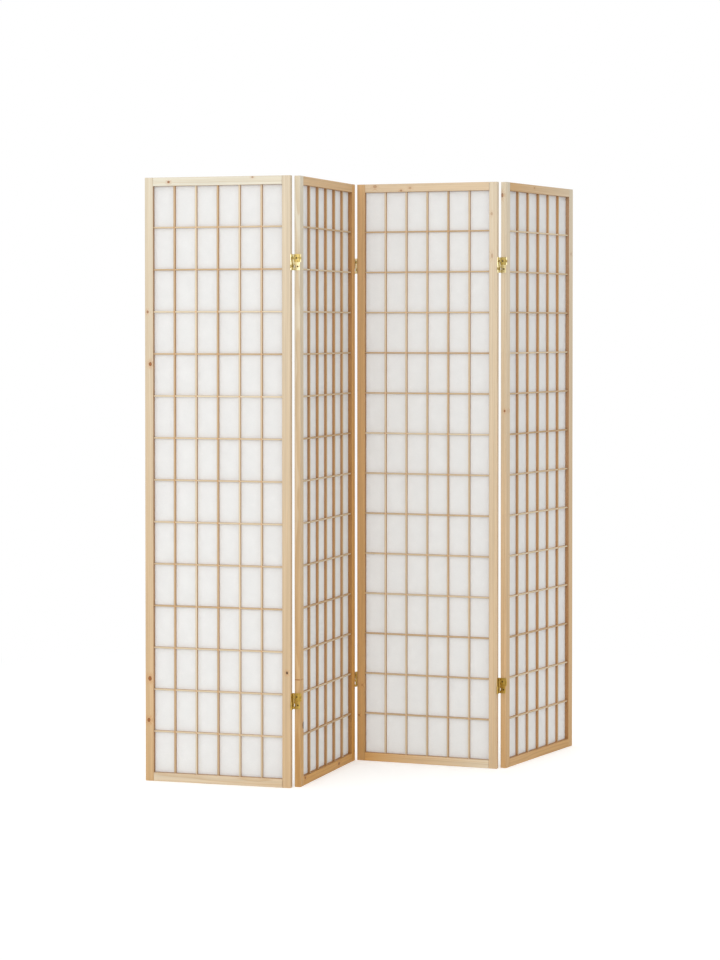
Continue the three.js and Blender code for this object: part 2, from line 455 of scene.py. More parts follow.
def panel_places(joints: list[dict]) -> list[PanelPlace]:
    """Works out where the panels stand from where the joints are.

    Args:
        joints: The record's joints, from left to right.

    Returns:
        One place for each panel, from left to right.
    """
    places = []
    for index, heading in enumerate(PANEL_HEADINGS):
        nearest = min(index, len(joints) - 1)
        along = PANEL_WIDTH + PANEL_GAP / 2 if index == nearest else -PANEL_GAP / 2
        arm = Vector((along, TURNING_SIDES[nearest] * AXIS_OFFSET, 0)) * MM
        x, y, _ = joints[nearest]["pos_m"]
        turn = Matrix.Rotation(math.radians(heading), 4, "Z")
        places.append(PanelPlace(index + 1, Vector((x, y, 0)) - turn @ arm, heading))
    return places


# ---- Wood -----------------------------------------------------------------------------------


class KnotAxis(Enum):
    """Which way a branch ran out of a board; the zero marks the direction that a knot runs in."""

    FACE = (1.0, 0.0, 1.0)
    EDGE = (0.0, 1.0, 1.0)


@dataclass(frozen=True)
class Knot:
    """A knot in a board, in the board's own frame, in millimetres."""

    along: float
    aside: float
    radius: float
    stretch: float = 1.3
    axis: KnotAxis = KnotAxis.FACE
    darkness: float = 1.0
    dead: bool = False


@dataclass(frozen=True)
class Grain:
    """How one board, or one row of like strips, is cut from the tree.

    The golden shares are 0 for pale sapwood, 1 for golden heartwood, and can go a little beyond; set per
    board, they also carry painted sheen and painted shade.
    A row of strips has a pitch, and laps where other strips cross it. The inner side is 1 or -1
    where a frame member faces its opening on that side. Sizes are in millimetres.
    """

    seed: float
    length: float
    golden_foot: float = 0.5
    golden_head: float = 0.5
    knots: tuple[Knot, ...] = ()
    lightness: float = 1.0
    strip_pitch: float = 0.0
    lap_first: float = 0.0
    lap_pitch: float = 0.0
    lap_width: float = 0.0
    inner_side: int = 0

    @property
    def pith(self) -> tuple[float, float, float]:
        """The tree's middle, 24 to 68 mm away in a direction that the seed picks.

        Returns:
            Its place across, through and along the board, in millimetres.
        """
        turn = self.seed * 2.4
        reach = 46 + 22 * math.sin(self.seed * 5.1)
        return (reach * math.cos(turn), reach * math.sin(turn), 0.0)


@dataclass(frozen=True)
class Softwood:
    """Planed softwood: pale earlywood with darker lines of latewood, fibres, streaks and knots.

    Colours are sRGB hex. A share tells how much of its own colour a strip's side in painted shade, a
    member's inner side in painted shade, an end or a glued lap takes on. Of a knot's two colours the
    first is its middle.
    """

    pale_early: str
    golden_early: str
    pale_late: str
    golden_late: str
    line_strength: float = 0.55
    ring_spacing_mm: float = 3.2
    ring_wander_mm: float = 11.0
    streak_width_mm: float = 8.0
    streak_length_mm: float = 420.0
    streak_contrast: float = 0.1
    fibre_width_mm: float = 0.9
    fibre_length_ratio: float = 60.0
    fibre_contrast: float = 0.03
    roughness: float = 0.5
    shine: float = 0.25
    flank_shade: str = ""
    flank_shade_share: float = 0.85
    inner_shade: str = "9E6C3E"
    inner_shade_share: float = 0.75
    end_grain: str = "A67C4E"
    end_grain_share: float = 0.4
    lap_glue: str = "CC8C4C"
    lap_glue_share: float = 0.6
    knot_bend: float = 1.6
    knot_halo: str = "BE7C3E"
    live_knot: tuple[str, str] = ("9A5A26", "6E3C18")
    dead_knot: tuple[str, str] = ("4A3018", "2C1A0E")

    @staticmethod
    def figure_group() -> NodeTree:
        """Makes, once, the group that draws growth rings, streaks and fibres from a place in a board.

        Returns:
            A shader group; its places and sizes are in millimetres.
        """
        name = "softwood_figure"
        if name in bpy.data.node_groups:
            return bpy.data.node_groups[name]
        group, given = new_group(
            name, "ShaderNodeTree",
            {"Place": "Vector", "Seed": "Float", "Pith": "Vector", "Deflection": "Float",
             "Ring Spacing": "Float", "Ring Wander": "Float", "Streak Scale": "Vector",
             "Fibre Scale": "Vector"},
            {"Latewood": "Float", "Streak": "Float", "Fibre": "Float"})
        place = given["Place"]
        # Places are scaled by so many lumps per millimetre, across and along the grain.
        seed_step = (310.0, 0.0, 2500.0)
        moved = vector_maths(group, "ADD", place, vector_maths(group, "SCALE", seed_step, given["Seed"]))
        # Rings: the distance from the pith, which strays slowly along the trunk.
        slow = vector_maths(group, "MULTIPLY", moved, (0.012, 0.012, 0.0032))
        drift = noise(group, slow)["Color"]
        centred = vector_maths(group, "SUBTRACT", drift, (0.5, 0.5, 0.5))
        wander = vector_maths(group, "SCALE", centred, given["Ring Wander"])
        from_pith = vector_maths(group, "SUBTRACT", place, given["Pith"])
        strayed = vector_maths(group, "ADD", from_pith, wander)
        across = vector_maths(group, "MULTIPLY", strayed, (1.0, 1.0, 0.0))
        bent = maths(group, "ADD", vector_maths(group, "LENGTH", across), given["Deflection"])
        years = maths(group, "DIVIDE", bent, given["Ring Spacing"])
        # Good and poor years differ in width, and a ring's edge frays along the fibres.
        uneven = add_node(group, "ShaderNodeTexNoise", {"W": years, "Scale": 0.45, "Detail": 1.0},
                          noise_dimensions="1D").outputs["Fac"]
        spaced = maths(group, "MULTIPLY_ADD", uneven, 2.2, years)
        frayed = vector_maths(group, "MULTIPLY", moved, (0.9, 0.9, 0.012))
        age = maths(group, "MULTIPLY_ADD", noise(group, frayed)["Fac"], 0.28, spaced)
        # Within a year the wood darkens slowly, and falls back at once when winter ends.
        profile = add_node(group, "ShaderNodeValToRGB", {0: maths(group, "FRACT", age)})
        stops = profile.color_ramp.elements
        stops[0].color = stops[1].color = (0.1, 0.1, 0.1, 1.0)
        for position, value in ((0.1, 0.0), (0.5, 0.14), (0.84, 1.0), (0.93, 0.9)):
            stops.new(position).color = (value, value, value, 1.0)
        streak, fibre = (
            noise(group, vector_maths(group, "MULTIPLY", moved, given[scale]), detail=3.0)["Fac"]
            for scale in ("Streak Scale", "Fibre Scale"))
        add_node(group, "NodeGroupOutput",
                 {"Latewood": profile.outputs["Color"], "Streak": streak, "Fibre": fibre})
        return group

    @staticmethod
    def knot_group() -> NodeTree:
        """Makes, once, the group that tells how near a place is to a knot.

        Returns:
            A shader group with the knot's core, its rim, and the bent grain round it.
        """
        name = "knot"
        if name in bpy.data.node_groups:
            return bpy.data.node_groups[name]
        group, given = new_group(
            name, "ShaderNodeTree", {"Place": "Vector", "Centre": "Vector", "Shape": "Vector"},
            {"Core": "Float", "Rim": "Float", "Halo": "Float"})
        away = vector_maths(group, "SUBTRACT", given["Place"], given["Centre"])
        distance = vector_maths(group, "LENGTH", vector_maths(group, "MULTIPLY", away, given["Shape"]))
        ragged = noise(group, given["Place"], scale=0.35)["Fac"]
        uneven = maths(group, "MULTIPLY_ADD", ragged, 0.5, distance)
        # Distances are in radii of the knot; half of the ragged edge's width is taken off again.
        reach = maths(group, "SUBTRACT", uneven, 0.25)
        add_node(group, "NodeGroupOutput", {
            "Core": remap(group, reach, (0.85, 1.1), (1.0, 0.0), smooth=True),
            "Rim": remap(group, reach, (0.35, 0.9), smooth=True),
            "Halo": remap(group, distance, (0.8, 3.6), (1.0, 0.0), smooth=True)})
        return group

    def material(self, name: str, board: Matrix, grain: Grain) -> Material:
        """Makes this wood as the material of one board or row of strips.

        Args:
            name: The material's name.
            board: The board's own frame to the row's, in metres, with the grain along z.
            grain: How the board is cut.

        Returns:
            The material.
        """
        made, tree = new_material(name)
        place = add_node(
            tree, "ShaderNodeMapping",
            {"Vector": object_place(tree), "Location": board.to_translation(),
             "Rotation": board.to_euler("XYZ"), "Scale": (MM, MM, MM)},
            vector_type="TEXTURE").outputs[0]
        across, through, along = add_node(tree, "ShaderNodeSeparateXYZ", {0: place}).outputs
        knots, bend = self._knots(tree, place, grain)
        late, streak, fibre = self._figure(tree, place, bend, grain)
        if grain.strip_pitch:
            share = self._strip_share(tree, across, grain)
        else:
            share = remap(tree, along, (0.0, grain.length))
        colour = self._body_colour(tree, share, late, grain)
        # Painted shade: a strip's sides and back, behind its front half millimetre, take the darker,
        # redder flank colour.
        if self.flank_shade:
            front = -LATTICE_DEPTH / 2
            flank_shade_mask = remap(tree, through, (front + 0.1, front + 0.5), (0.0, self.flank_shade_share))
            colour = mix_colours(tree, flank_shade_mask, colour, linear(self.flank_shade))
        if grain.lap_pitch:
            colour = self._lap_colour(tree, colour, along, grain)
        for value, spread in ((streak, self.streak_contrast), (fibre, self.fibre_contrast)):
            tone = remap(tree, value, (0.25, 0.75), (1 - spread, 1 + spread))
            colour = vector_maths(tree, "SCALE", colour, tone)
        colour = vector_maths(tree, "SCALE", colour, grain.lightness)
        # Painted shade: the side that faces the opening, down in the recess before the paper, is
        # darkened.
        side = MEMBER_WIDTH / 2
        inwards = maths(tree, "MULTIPLY", across, grain.inner_side)
        inner_shade_mask = remap(tree, inwards, (side - 0.3, side - 0.1), (0.0, self.inner_shade_share))
        colour = mix_colours(tree, inner_shade_mask, colour, linear(self.inner_shade))
        for knot, mark in knots:
            colour = self._knot_colour(tree, colour, knot, mark)
        # End grain drinks more of the finish and is darker.
        half = grain.length / 2
        outwards = maths(tree, "ABSOLUTE", maths(tree, "SUBTRACT", along, half))
        end = remap(tree, outwards, (half - 0.4, half - 0.1), (0.0, self.end_grain_share))
        colour = mix_colours(tree, end, colour, linear(self.end_grain))
        gloss = remap(tree, late, (0.0, 1.0), (self.roughness + 0.03, self.roughness - 0.05))
        relief = maths(tree, "MULTIPLY_ADD", fibre, 0.5, late)
        shader = add_node(tree, "ShaderNodeBsdfPrincipled", {
            "Base Color": colour, "Roughness": gloss, "IOR": 1.5, "Specular IOR Level": self.shine,
            "Normal": bumps(tree, relief, strength=0.35, depth_mm=0.08)})
        add_node(tree, "ShaderNodeOutputMaterial", {"Surface": shader.outputs[0]})
        return made

    def _figure(
        self, tree: NodeTree, place: NodeSocket, bend: NodeSocket | None, grain: Grain
    ) -> tuple[NodeSocket, ...]:
        """Adds a board's figure.

        Args:
            tree: The material's tree.
            place: The place in the board.
            bend: How far knots bend the rings, if there are any.
            grain: How the board is cut.

        Returns:
            The latewood, the streaks and the fibres.
        """
        fine, broad = 1 / self.fibre_width_mm, 1 / self.streak_width_mm
        values = {
            "Place": place, "Deflection": bend or 0.0, "Seed": grain.seed, "Pith": grain.pith,
            "Ring Spacing": self.ring_spacing_mm, "Ring Wander": self.ring_wander_mm,
            "Streak Scale": (broad, broad, 1 / self.streak_length_mm),
            "Fibre Scale": (fine, fine, fine / self.fibre_length_ratio),
        }
        figure = add_node(tree, "ShaderNodeGroup", values, node_tree=self.figure_group())
        return tuple(figure.outputs[name] for name in ("Latewood", "Streak", "Fibre"))

    def _knots(
        self, tree: NodeTree, place: NodeSocket, grain: Grain
    ) -> tuple[list, NodeSocket | None]:
        """Adds a board's knots.

        Args:
            tree: The material's tree.
            place: The place in the board.
            grain: How the board is cut.

        Returns:
            Each knot with its group's outputs, and how far they bend the rings, if there are any.
        """
        marks, bend = [], None
        for knot in grain.knots:
            sides = Vector(knot.axis.value) / knot.radius
            aside = (knot.aside, 0.0) if knot.axis is KnotAxis.FACE else (0.0, knot.aside)
            values = {"Place": place, "Centre": (*aside, knot.along),
                      "Shape": (sides.x, sides.y, sides.z / knot.stretch)}
            mark = add_node(tree, "ShaderNodeGroup", values, node_tree=self.knot_group()).outputs
            bend = maths(tree, "MULTIPLY_ADD", mark["Halo"], knot.radius * self.knot_bend, bend or 0.0)
            marks.append((knot, mark))
        return marks, bend

    def _lap_colour(
        self, tree: NodeTree, colour: NodeSocket, along: NodeSocket, grain: Grain
    ) -> NodeSocket:
        """Makes a strip more orange where other strips cross it, from the glue in the laps.

        Args:
            tree: The material's tree.
            colour: The colour without the laps.
            along: The place along the strip, in millimetres.
            grain: How the row is cut.

        Returns:
            The colour with the laps.
        """
        past = maths(tree, "SUBTRACT", along, grain.lap_first)
        away = maths(tree, "PINGPONG", past, grain.lap_pitch / 2)
        half = grain.lap_width / 2
        glued = remap(tree, away, (half - 0.3, half + 0.3), (self.lap_glue_share, 0.0))
        return mix_colours(tree, glued, colour, linear(self.lap_glue))

    @staticmethod
    def _strip_share(tree: NodeTree, across: NodeSocket, grain: Grain) -> NodeSocket:
        """Gives each strip of a row its own place between pale and golden wood.

        Args:
            tree: The material's tree.
            across: The place across the row, in millimetres.
            grain: How the row is cut.

        Returns:
            A share that is even along a strip.
        """
        count = maths(tree, "MULTIPLY_ADD", across, 1 / grain.strip_pitch, grain.seed * 10 // 1)
        whole = maths(tree, "FLOOR", count)
        chance = add_node(tree, "ShaderNodeTexWhiteNoise", {"W": whole}, noise_dimensions="1D")
        return chance.outputs["Value"]

    def _body_colour(
        self, tree: NodeTree, share: NodeSocket, late: NodeSocket, grain: Grain
    ) -> NodeSocket:
        """Mixes earlywood and latewood, each from paler sapwood to more golden heartwood.

        Args:
            tree: The material's tree.
            share: How far the place is from the grain's foot colour to its head colour.
            late: How much latewood there is.
            grain: How the board is cut.

        Returns:
            The colour.
        """
        early_wood, late_wood = (
            mix_colours(tree, share, *(between(pale, golden, end)
                                       for end in (grain.golden_foot, grain.golden_head)))
            for pale, golden in ((self.pale_early, self.golden_early),
                                 (self.pale_late, self.golden_late)))
        line = maths(tree, "MULTIPLY", late, self.line_strength)
        return mix_colours(tree, line, early_wood, late_wood)

    def _knot_colour(
        self, tree: NodeTree, colour: NodeSocket, knot: Knot, mark: NodeOutputs
    ) -> NodeSocket:
        """Warms the wood round a knot and darkens the knot.

        Args:
            tree: The material's tree.
            colour: The colour without the knot.
            knot: The knot.
            mark: The knot group's outputs.

        Returns:
            The colour with the knot.
        """
        tint = maths(tree, "MULTIPLY", mark["Halo"], 0.3 * knot.darkness)
        warmed = mix_colours(tree, tint, colour, linear(self.knot_halo))
        middle, edge = self.dead_knot if knot.dead else self.live_knot
        heart = mix_colours(tree, mark["Rim"], linear(middle), linear(edge))
        strength = maths(tree, "MULTIPLY", mark["Core"], 0.9 * knot.darkness)
        return mix_colours(tree, strength, warmed, heart)


# Planed spruce: creamy where sapwood shows, golden elsewhere, nearly matt; the creamy colour is also
# greyed a little as painted sheen.
FRAME_SPRUCE = Softwood("D4C7B0", "C99A58", "BFA47E", "AE7B3C")

# Oiled pine strips: pale on their planed fronts, darker and redder on their sides as painted shade, each
# strip its own tone.
LATTICE_PINE = Softwood(
    "DCCFB4", "C2A57E", "C6AC86", "A5825A", ring_spacing_mm=2.2, streak_width_mm=4.0,
    flank_shade="B38150")


# ---- Paper ----------------------------------------------------------------------------------


@dataclass(frozen=True)
class ShojiPaper:
    """Thin white fibre paper: matt, a little see-through to light, with long pale fibres in it."""

    colour: str = "F4F4F4"
    let_through: str = "F6F6F4"
    share_through: float = 0.45
    fibre_pitch_mm: float = 9.0
    cloud_mm: float = 28.0
    roughness: float = 0.85

    def material(self) -> Material:
        """Makes the paper's material.

        Returns:
            The material.
        """
        made, tree = new_material("shoji_paper")
        where = object_place(tree)
        # Long kozo fibres: real ones are 10 mm long and under 0.1 mm wide, drawn four times as wide.
        swirl = noise(tree, where, scale=60.0)["Color"]
        pushed = vector_maths(tree, "MULTIPLY_ADD", swirl, (0.02, 0.02, 0.02), where)
        strands = add_node(tree, "ShaderNodeTexVoronoi",
                           {"Vector": pushed, "Scale": 1 / (self.fibre_pitch_mm * MM)},
                           feature="DISTANCE_TO_EDGE")
        strand = remap(tree, strands.outputs["Distance"], (0.0, 0.045), (1.0, 0.0), smooth=True)
        cloud = noise(tree, where, 1 / (self.cloud_mm * MM), detail=4.0)["Fac"]
        tone = remap(tree, cloud, (0.3, 0.7), (0.975, 1.0))
        lit = maths(tree, "MULTIPLY_ADD", strand, 0.03, tone)
        colour, passed = (vector_maths(tree, "SCALE", linear(tint)[:3], lit)
                          for tint in (self.colour, self.let_through))
        pulp = noise(tree, where, scale=900.0)["Fac"]
        relief = maths(tree, "MULTIPLY_ADD", strand, 0.6, pulp)
        bump = bumps(tree, relief, strength=0.3, depth_mm=0.05)
        face = add_node(tree, "ShaderNodeBsdfPrincipled",
                        {"Base Color": colour, "Roughness": self.roughness, "IOR": 1.45, "Normal": bump})
        behind = add_node(tree, "ShaderNodeBsdfTranslucent", {"Color": passed, "Normal": bump})
        both = add_node(tree, "ShaderNodeMixShader",
                        {0: self.share_through, 1: face.outputs[0], 2: behind.outputs[0]})
        add_node(tree, "ShaderNodeOutputMaterial", {"Surface": both.outputs[0]})
        return made


# ---- Brass ----------------------------------------------------------------------------------


@dataclass(frozen=True)
class StampedBrass:
    """Stamped and tumbled brass: a soft yellow mirror with fine scratches and a breath of tarnish."""

    name: str
    colour: str
    tarnish: str
    roughness: float = 0.36
    tarnish_mm: float = 5.0
    scratch_mm: float = 0.5

    def material(self) -> Material:
        """Makes the brass's material.

        Returns:
            The material.
        """
        made, tree = new_material(self.name)
        where = object_place(tree)
        stain = noise(tree, where, 1 / (self.tarnish_mm * MM), detail=4.0)["Fac"]
        dulled = remap(tree, stain, (0.48, 0.72), (0.0, 0.55), smooth=True)
        # Tumbling marks: real ones are finer than a tenth of a millimetre, drawn at half a millimetre.
        drawn = add_node(tree, "ShaderNodeMapping",
                         {"Vector": where, "Rotation": (0.4, 0.2, 0.9), "Scale": (1.0, 0.12, 1.0)})
        scratch = noise(tree, drawn.outputs[0], 1 / (self.scratch_mm * MM), detail=3.0)["Fac"]
        scuffed = remap(tree, scratch, (0.35, 0.7), (self.roughness - 0.06, self.roughness + 0.08))
        shader = add_node(tree, "ShaderNodeBsdfPrincipled", {
            "Base Color": mix_colours(tree, dulled, linear(self.colour), linear(self.tarnish)),
            "Metallic": 1.0, "Roughness": maths(tree, "MULTIPLY_ADD", dulled, 0.2, scuffed),
            "Normal": bumps(tree, scratch, strength=0.2, depth_mm=0.03)})
        add_node(tree, "ShaderNodeOutputMaterial", {"Surface": shader.outputs[0]})
        return made


# Brass of the screws and pins, with painted shade: much darker than the sheet that they hold, for the
# shade in their recesses and in the gap.
SHADED_SCREW_BRASS = StampedBrass("screw_brass_painted_shade", "6C5A34", "42361E", roughness=0.42)

# Tumbled brass sheet of the upper hinges: pale and bright; its links are darker and more olive, as
# painted shade for the gap between the panels.
# The lower hinges' sheet and links are deeper and more golden, as painted shade for the darker
# surroundings that they reflect.
HINGE_FINISHES = {
    "top": (StampedBrass("tumbled_brass", "EEE3B8", "B4965A"),
            StampedBrass("link_brass_painted_shade", "B9A362", "54431C", roughness=0.4), SHADED_SCREW_BRASS),
    "bottom": (StampedBrass("lower_brass_painted_shade", "CDAE5E", "80662F"),
               StampedBrass("lower_link_brass_painted_shade", "BC9C4C", "665226", roughness=0.4), SHADED_SCREW_BRASS),
}


# ---- Rows of like pieces --------------------------------------------------------------------


@dataclass(frozen=True)
class Row:
    """Like pieces set out in a line at an even pitch, by Geometry Nodes."""

    count: int
    first: Vector | tuple[float, float, float]
    pitch: Vector | tuple[float, float, float]
    turn_deg: float = 0.0
    seed: int = 1

    @staticmethod
    def tree() -> NodeTree:
        """Makes, once, the tree that sets the pieces out.

        Returns:
            A geometry group with the row's sizes as inputs.
        """
        name = "row_of_pieces"
        if name in bpy.data.node_groups:
            return bpy.data.node_groups[name]
        group, given = new_group(
            name, "GeometryNodeTree",
            {"Piece": "Geometry", "Count": "Int", "First": "Vector", "Pitch": "Vector",
             "Turn": "Vector", "Seed": "Int", "Finish": "Material"},
            {"Row": "Geometry"})
        line = add_node(group, "GeometryNodeMeshLine",
                        {"Count": given["Count"], "Start Location": given["First"],
                         "Offset": given["Pitch"]}, mode="OFFSET")
        least = vector_maths(group, "SCALE", given["Turn"], -1.0)
        chance = add_node(group, "FunctionNodeRandomValue",
                          {0: least, 1: given["Turn"], "Seed": given["Seed"]},
                          data_type="FLOAT_VECTOR")
        turn = add_node(group, "FunctionNodeEulerToRotation", {0: chance.outputs[0]})
        placed = add_node(group, "GeometryNodeInstanceOnPoints",
                          {"Points": line.outputs[0], "Instance": given["Piece"],
                           "Rotation": turn.outputs[0]})
        real = add_node(group, "GeometryNodeRealizeInstances", {0: placed.outputs[0]})
        dressed = add_node(group, "GeometryNodeSetMaterial",
                           {"Geometry": real.outputs[0], "Material": given["Finish"]})
        add_node(group, "NodeGroupOutput", {"Row": dressed.outputs[0]})
        return group

    def build(
        self, name: str, piece: Mesh, place: Matrix, finish: Material
    ) -> Object:
        """Builds the row as one plain mesh.

        Args:
            name: The name of the new object.
            piece: One piece, in millimetres; it is used up.
            place: The row's own frame to that of the whole part, in metres.
            finish: The material.

        Returns:
            The row as one object.
        """
        holder = new_object(f"{name}_one", piece)
        modifier = holder.modifiers.new("row", "NODES")
        modifier.node_group = self.tree()
        values = {"Count": self.count, "First": self.first, "Pitch": self.pitch,
                  "Turn": (math.radians(self.turn_deg), 0.0, 0.0), "Seed": self.seed, "Finish": finish}
        for socket in modifier.node_group.interface.items_tree:
            if socket.name in values:
                modifier[socket.identifier] = values[socket.name]
        graph = bpy.context.evaluated_depsgraph_get()
        mesh = bpy.data.meshes.new_from_object(
            holder.evaluated_get(graph), preserve_all_data_layers=True, depsgraph=graph)
        mesh.name = name
        bpy.data.objects.remove(holder)
        bpy.data.meshes.remove(piece)
        set_in_place(mesh, place)
        return new_object(name, mesh)


# ---- Panels ---------------------------------------------------------------------------------


@dataclass
class Lattice:
    """Half-lapped strips, flush with each other: uprights that run through, cross bars behind them.

    Sizes are in millimetres.
    """

    columns: int = 6
    rows: int = 14
    upright_width: float = 5.0
    cross_width: float = 4.5
    depth: float = LATTICE_DEPTH
    tenon: float = 5.0
    lap_play: float = 0.1
    edge_round: float = 0.4
    upright_seed: float = 1.7
    cross_seed: float = 2.9

    @property
    def reach(self) -> float:
        """How far from the panel's outside the strips' ends are."""
        return MEMBER_WIDTH - self.tenon

    @property
    def column_pitch(self) -> float:
        """From one upright to the next."""
        return (PANEL_WIDTH - 2 * MEMBER_WIDTH + self.upright_width) / self.columns

    @property
    def row_pitch(self) -> float:
        """From one cross bar to the next."""
        return (PANEL_HEIGHT - 2 * MEMBER_WIDTH + self.cross_width) / self.rows

    @property
    def first_upright(self) -> float:
        """Where the first upright's middle is along the panel."""
        return MEMBER_WIDTH + self.column_pitch - self.upright_width / 2

    @property
    def first_cross_bar(self) -> float:
        """How high the first cross bar's middle is."""
        return MEMBER_WIDTH + self.row_pitch - self.cross_width / 2

    def strip(
        self, name: str, width: float, length: float, laps: list[float], lap_width: float, front: bool
    ) -> Mesh:
        """Builds one strip along z with its half laps.

        Args:
            name: The mesh's name.
            width: The strip's width, across x.
            length: Its length, from z = 0.
            laps: The heights of the strips that it crosses.
            lap_width: Their width.
            front: True if the laps are cut from the front.

        Returns:
            The strip's mesh, in millimetres.
        """
        half, side = self.depth / 2, -1 if front else 1
        floor = side * self.lap_play
        outline = [(-side * half, length), (-side * half, 0.0), (side * half, 0.0)]
        for lap in laps:
            low, high = (lap + way * (lap_width / 2 + self.lap_play) for way in (-1, 1))
            outline += [(side * half, low), (floor, low), (floor, high), (side * half, high)]
        outline.append((side * half, length))
        shape = bmesh.new()
        extrude(shape, [(-width / 2, y, z) for y, z in outline], (width, 0.0, 0.0))
        ease_edges(shape, self.edge_round, lambda edge: self._is_long_edge(edge, half))
        return mesh_of(name, shape)

    @staticmethod
    def _is_long_edge(edge: BMEdge, half: float) -> bool:
        """Tells whether an edge runs along the strip on its front."""
        a, b = (vertex.co for vertex in edge.verts)
        return abs(a.x - b.x) < 1e-6 and abs(a.y + half) < 1e-6 and abs(b.y + half) < 1e-6

    def build(self, place: PanelPlace) -> list[Object]:
        """Builds both sets of strips of one panel.

        Args:
            place: Where the panel stands.

        Returns:
            The uprights and the cross bars.
        """
        xs = [self.first_upright + i * self.column_pitch for i in range(self.columns - 1)]
        zs = [self.first_cross_bar + i * self.row_pitch for i in range(self.rows - 1)]
        name = place.body
        upright = self.strip(f"{name}_upright", self.upright_width, PANEL_HEIGHT - 2 * self.reach,
                             [z - self.reach for z in zs], self.cross_width, front=False)
        wood = LATTICE_PINE.material(
            f"oiled_pine_{place.number}_uprights", place.board(xs[0] - self.column_pitch / 2, 0.0),
            Grain(self.upright_seed * place.number, PANEL_HEIGHT, 0.0, 1.0,
                  strip_pitch=self.column_pitch,
                  lap_first=zs[0], lap_pitch=self.row_pitch, lap_width=self.cross_width))
        uprights = Row(len(xs), (xs[0], 0.0, self.reach), (self.column_pitch, 0.0, 0.0)).build(
            f"{name}_uprights", upright, place.matrix, wood)
        # A cross bar is made standing and then laid along the panel.
        cross_bar = self.strip(f"{name}_cross_bar", self.cross_width, PANEL_WIDTH - 2 * self.reach,
                               [x - self.reach for x in xs], self.upright_width, front=True)
        cross_bar.transform(Matrix.Rotation(math.pi / 2, 4, "Y"))
        wood = LATTICE_PINE.material(
            f"oiled_pine_{place.number}_cross_bars",
            place.board(0.0, zs[0] - self.row_pitch / 2, lying=True),
            Grain(self.cross_seed * place.number, PANEL_WIDTH, 0.0, 1.0, strip_pitch=self.row_pitch))
        cross_bars = Row(len(zs), (self.reach, 0.0, zs[0]), (0.0, 0.0, self.row_pitch)).build(
            f"{name}_cross_bars", cross_bar, place.matrix, wood)
        for made in (uprights, cross_bars):
            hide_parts(f"{name}_lattice")
            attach(made, name)
        return [uprights, cross_bars]


@dataclass
class PaperSheet:
    """One sheet of paper behind the lattice, glued at its edges and a little slack between bars.

    Sizes are in millimetres, and the edge is where the sheet ends in the groove.
    """

    edge: float = 22.0
    front: float = PAPER_FRONT
    thickness: float = 0.5
    slack: float = 0.35
    edge_fade: float = 12.0
    steps_across: int = 36
    steps_up: int = 112

    def build(
        self, place: PanelPlace, lattice: Lattice, finish: Material, held_by: list[Object]
    ) -> Object:
        """Builds a panel's sheet.

        Args:
            place: Where the panel stands.
            lattice: The lattice in front of it.
            finish: The paper's material.
            held_by: The pieces that it lies on; not used.

        Returns:
            The sheet.
        """
        wide, high = PANEL_WIDTH - 2 * self.edge, PANEL_HEIGHT - 2 * self.edge
        shape = bmesh.new()
        faces = []
        for back in (False, True):
            rows = [
                [shape.verts.new(self._point(i / self.steps_across * wide, j / self.steps_up * high,
                                             back, lattice, place.number))
                 for i in range(self.steps_across + 1)]
                for j in range(self.steps_up + 1)]
            for lower, upper in zip(rows, rows[1:]):
                for i in range(self.steps_across):
                    shape.faces.new((lower[i], lower[i + 1], upper[i + 1], upper[i]))
            faces.append(rows)
        rims = [rows[0] + [row[-1] for row in rows[1:-1]] + rows[-1][::-1]
                + [row[0] for row in rows[-2:0:-1]] for rows in faces]
        join_rings(shape, *rims)
        mesh = mesh_of(f"{place.body}_paper_sheet", shape)
        set_in_place(mesh, place.matrix)
        mesh.materials.append(finish)
        sheet = new_object(f"{place.body}_paper_sheet", mesh)
        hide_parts(f"{place.body}_paper")
        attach(sheet, place.body)
        return sheet

    def _point(self, along: float, up: float, back: bool, lattice: Lattice, number: int) -> Vector:
        """Gives a point of the sheet, which bulges a little towards the back inside each cell.

        Args:
            along: From the sheet's left edge, in millimetres.
            up: From its lower edge.
            back: True for its back face.
            lattice: The lattice in front of it.
            number: The panel's number.

        Returns:
            The point in the panel's frame, in millimetres.
        """
        x, z = self.edge + along, self.edge + up
        column = (x - lattice.first_upright) / lattice.column_pitch
        row = (z - lattice.first_cross_bar) / lattice.row_pitch
        fade = self.edge_fade
        inside = min(1.0, along / fade, (PANEL_WIDTH - 2 * self.edge - along) / fade)
        inside *= min(1.0, up / fade, (PANEL_HEIGHT - 2 * self.edge - up) / fade)
        bulge = abs(math.sin(math.pi * column) * math.sin(math.pi * row)) * inside
        # Each cell has its own share of the slack, from a fifth to all of it.
        varied = 0.6 + 0.4 * math.sin(1.9 * math.floor(column) + 2.7 * math.floor(row) + number)
        y = self.front + self.slack * bulge * varied + (self.thickness if back else 0.0)
        return Vector((x, y, z))


def board(
    seed: float, golden_foot: float, golden_head: float, *knots: Knot, lightness: float = 1.0
) -> dict:
    """Gathers what makes one frame member's wood its own."""
    return {"seed": seed, "golden_foot": golden_foot, "golden_head": golden_head, "knots": knots,
            "lightness": lightness}


